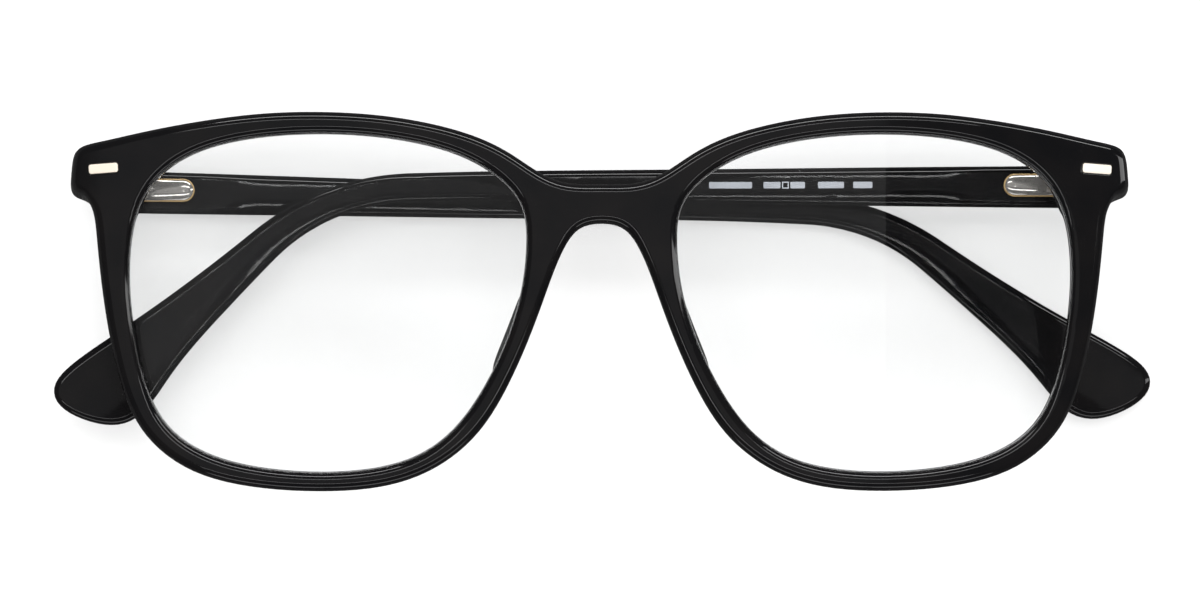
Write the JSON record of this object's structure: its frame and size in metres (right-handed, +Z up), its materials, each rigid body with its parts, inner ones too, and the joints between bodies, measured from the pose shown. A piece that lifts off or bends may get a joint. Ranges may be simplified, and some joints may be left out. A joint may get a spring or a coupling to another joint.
{
  "type": "eyeglasses",
  "caption": "Folding full-rim acetate eyeglasses with spring hinges, clear demo lenses and small metal plaques, modelled folded.",
  "frame": {"origin": "on the table under the middle of the folded glasses", "axes": "+X towards the wearer's left, +Y towards the top of the frame, +Z up from the table, out of the front's face"},
  "size_m": [0.1437, 0.0484, 0.0222],
  "materials": {
    "acetate": "polished black cellulose acetate",
    "lens": "clear uncoated demo lens",
    "pale_gold": "pale gold plating, fine satin",
    "housing_metal": "polished nickel silver with a gold-plated rim",
    "hinge_steel": "plain tumbled nickel silver",
    "spring_steel": "drawn wire",
    "pad_print": "light grey pad-printing ink"
  },
  "bodies": {
    "front": {"front_frame": "acetate", "lens_right": "lens", "lens_left": "lens", "nose_pad_right": "acetate", "nose_pad_left": "acetate", "plaque_right": "pale_gold", "plaque_left": "pale_gold", "front_hinge_right": "hinge_steel", "front_hinge_left": "hinge_steel", "hinge_screw_right": "pale_gold", "hinge_screw_left": "pale_gold"},
    "hinge_slider_right": {"slider_right": "hinge_steel", "slider_stop_right": "hinge_steel"},
    "hinge_slider_left": {"slider_left": "hinge_steel", "slider_stop_left": "hinge_steel"},
    "temple_right": {"temple_right": "acetate", "spring_housing_right": "housing_metal", "core_wire_right": "spring_steel", "coil_spring_right": "spring_steel"},
    "temple_left": {"temple_left": "acetate", "spring_housing_left": "housing_metal", "core_wire_left": "spring_steel", "coil_spring_left": "spring_steel"}
  },
  "joints": [
    {"name": "fold_right", "type": "hinge", "parent": "front", "child": "hinge_slider_right", "pos_m": [-0.06338, 0.0146, 0.0059], "axis": [0, 1, 0], "range_deg": [0, 88.3]},
    {"name": "fold_left", "type": "hinge", "parent": "front", "child": "hinge_slider_left", "pos_m": [0.06136, 0.0153, 0.0096], "axis": [0, -1, 0], "range_deg": [0, 92.2]},
    {"name": "flex_right", "type": "slide", "parent": "hinge_slider_right", "child": "temple_right", "axis": [1, 0, 0], "range_m": [0, 0.0012], "stiffness_N_per_m": 2500, "springref_m": -0.001, "deforming": ["coil_spring_right"]},
    {"name": "flex_left", "type": "slide", "parent": "hinge_slider_left", "child": "temple_left", "axis": [-1, 0, 0.0087], "range_m": [0, 0.0012], "stiffness_N_per_m": 2500, "springref_m": -0.001, "deforming": ["coil_spring_left"]}
  ]
}
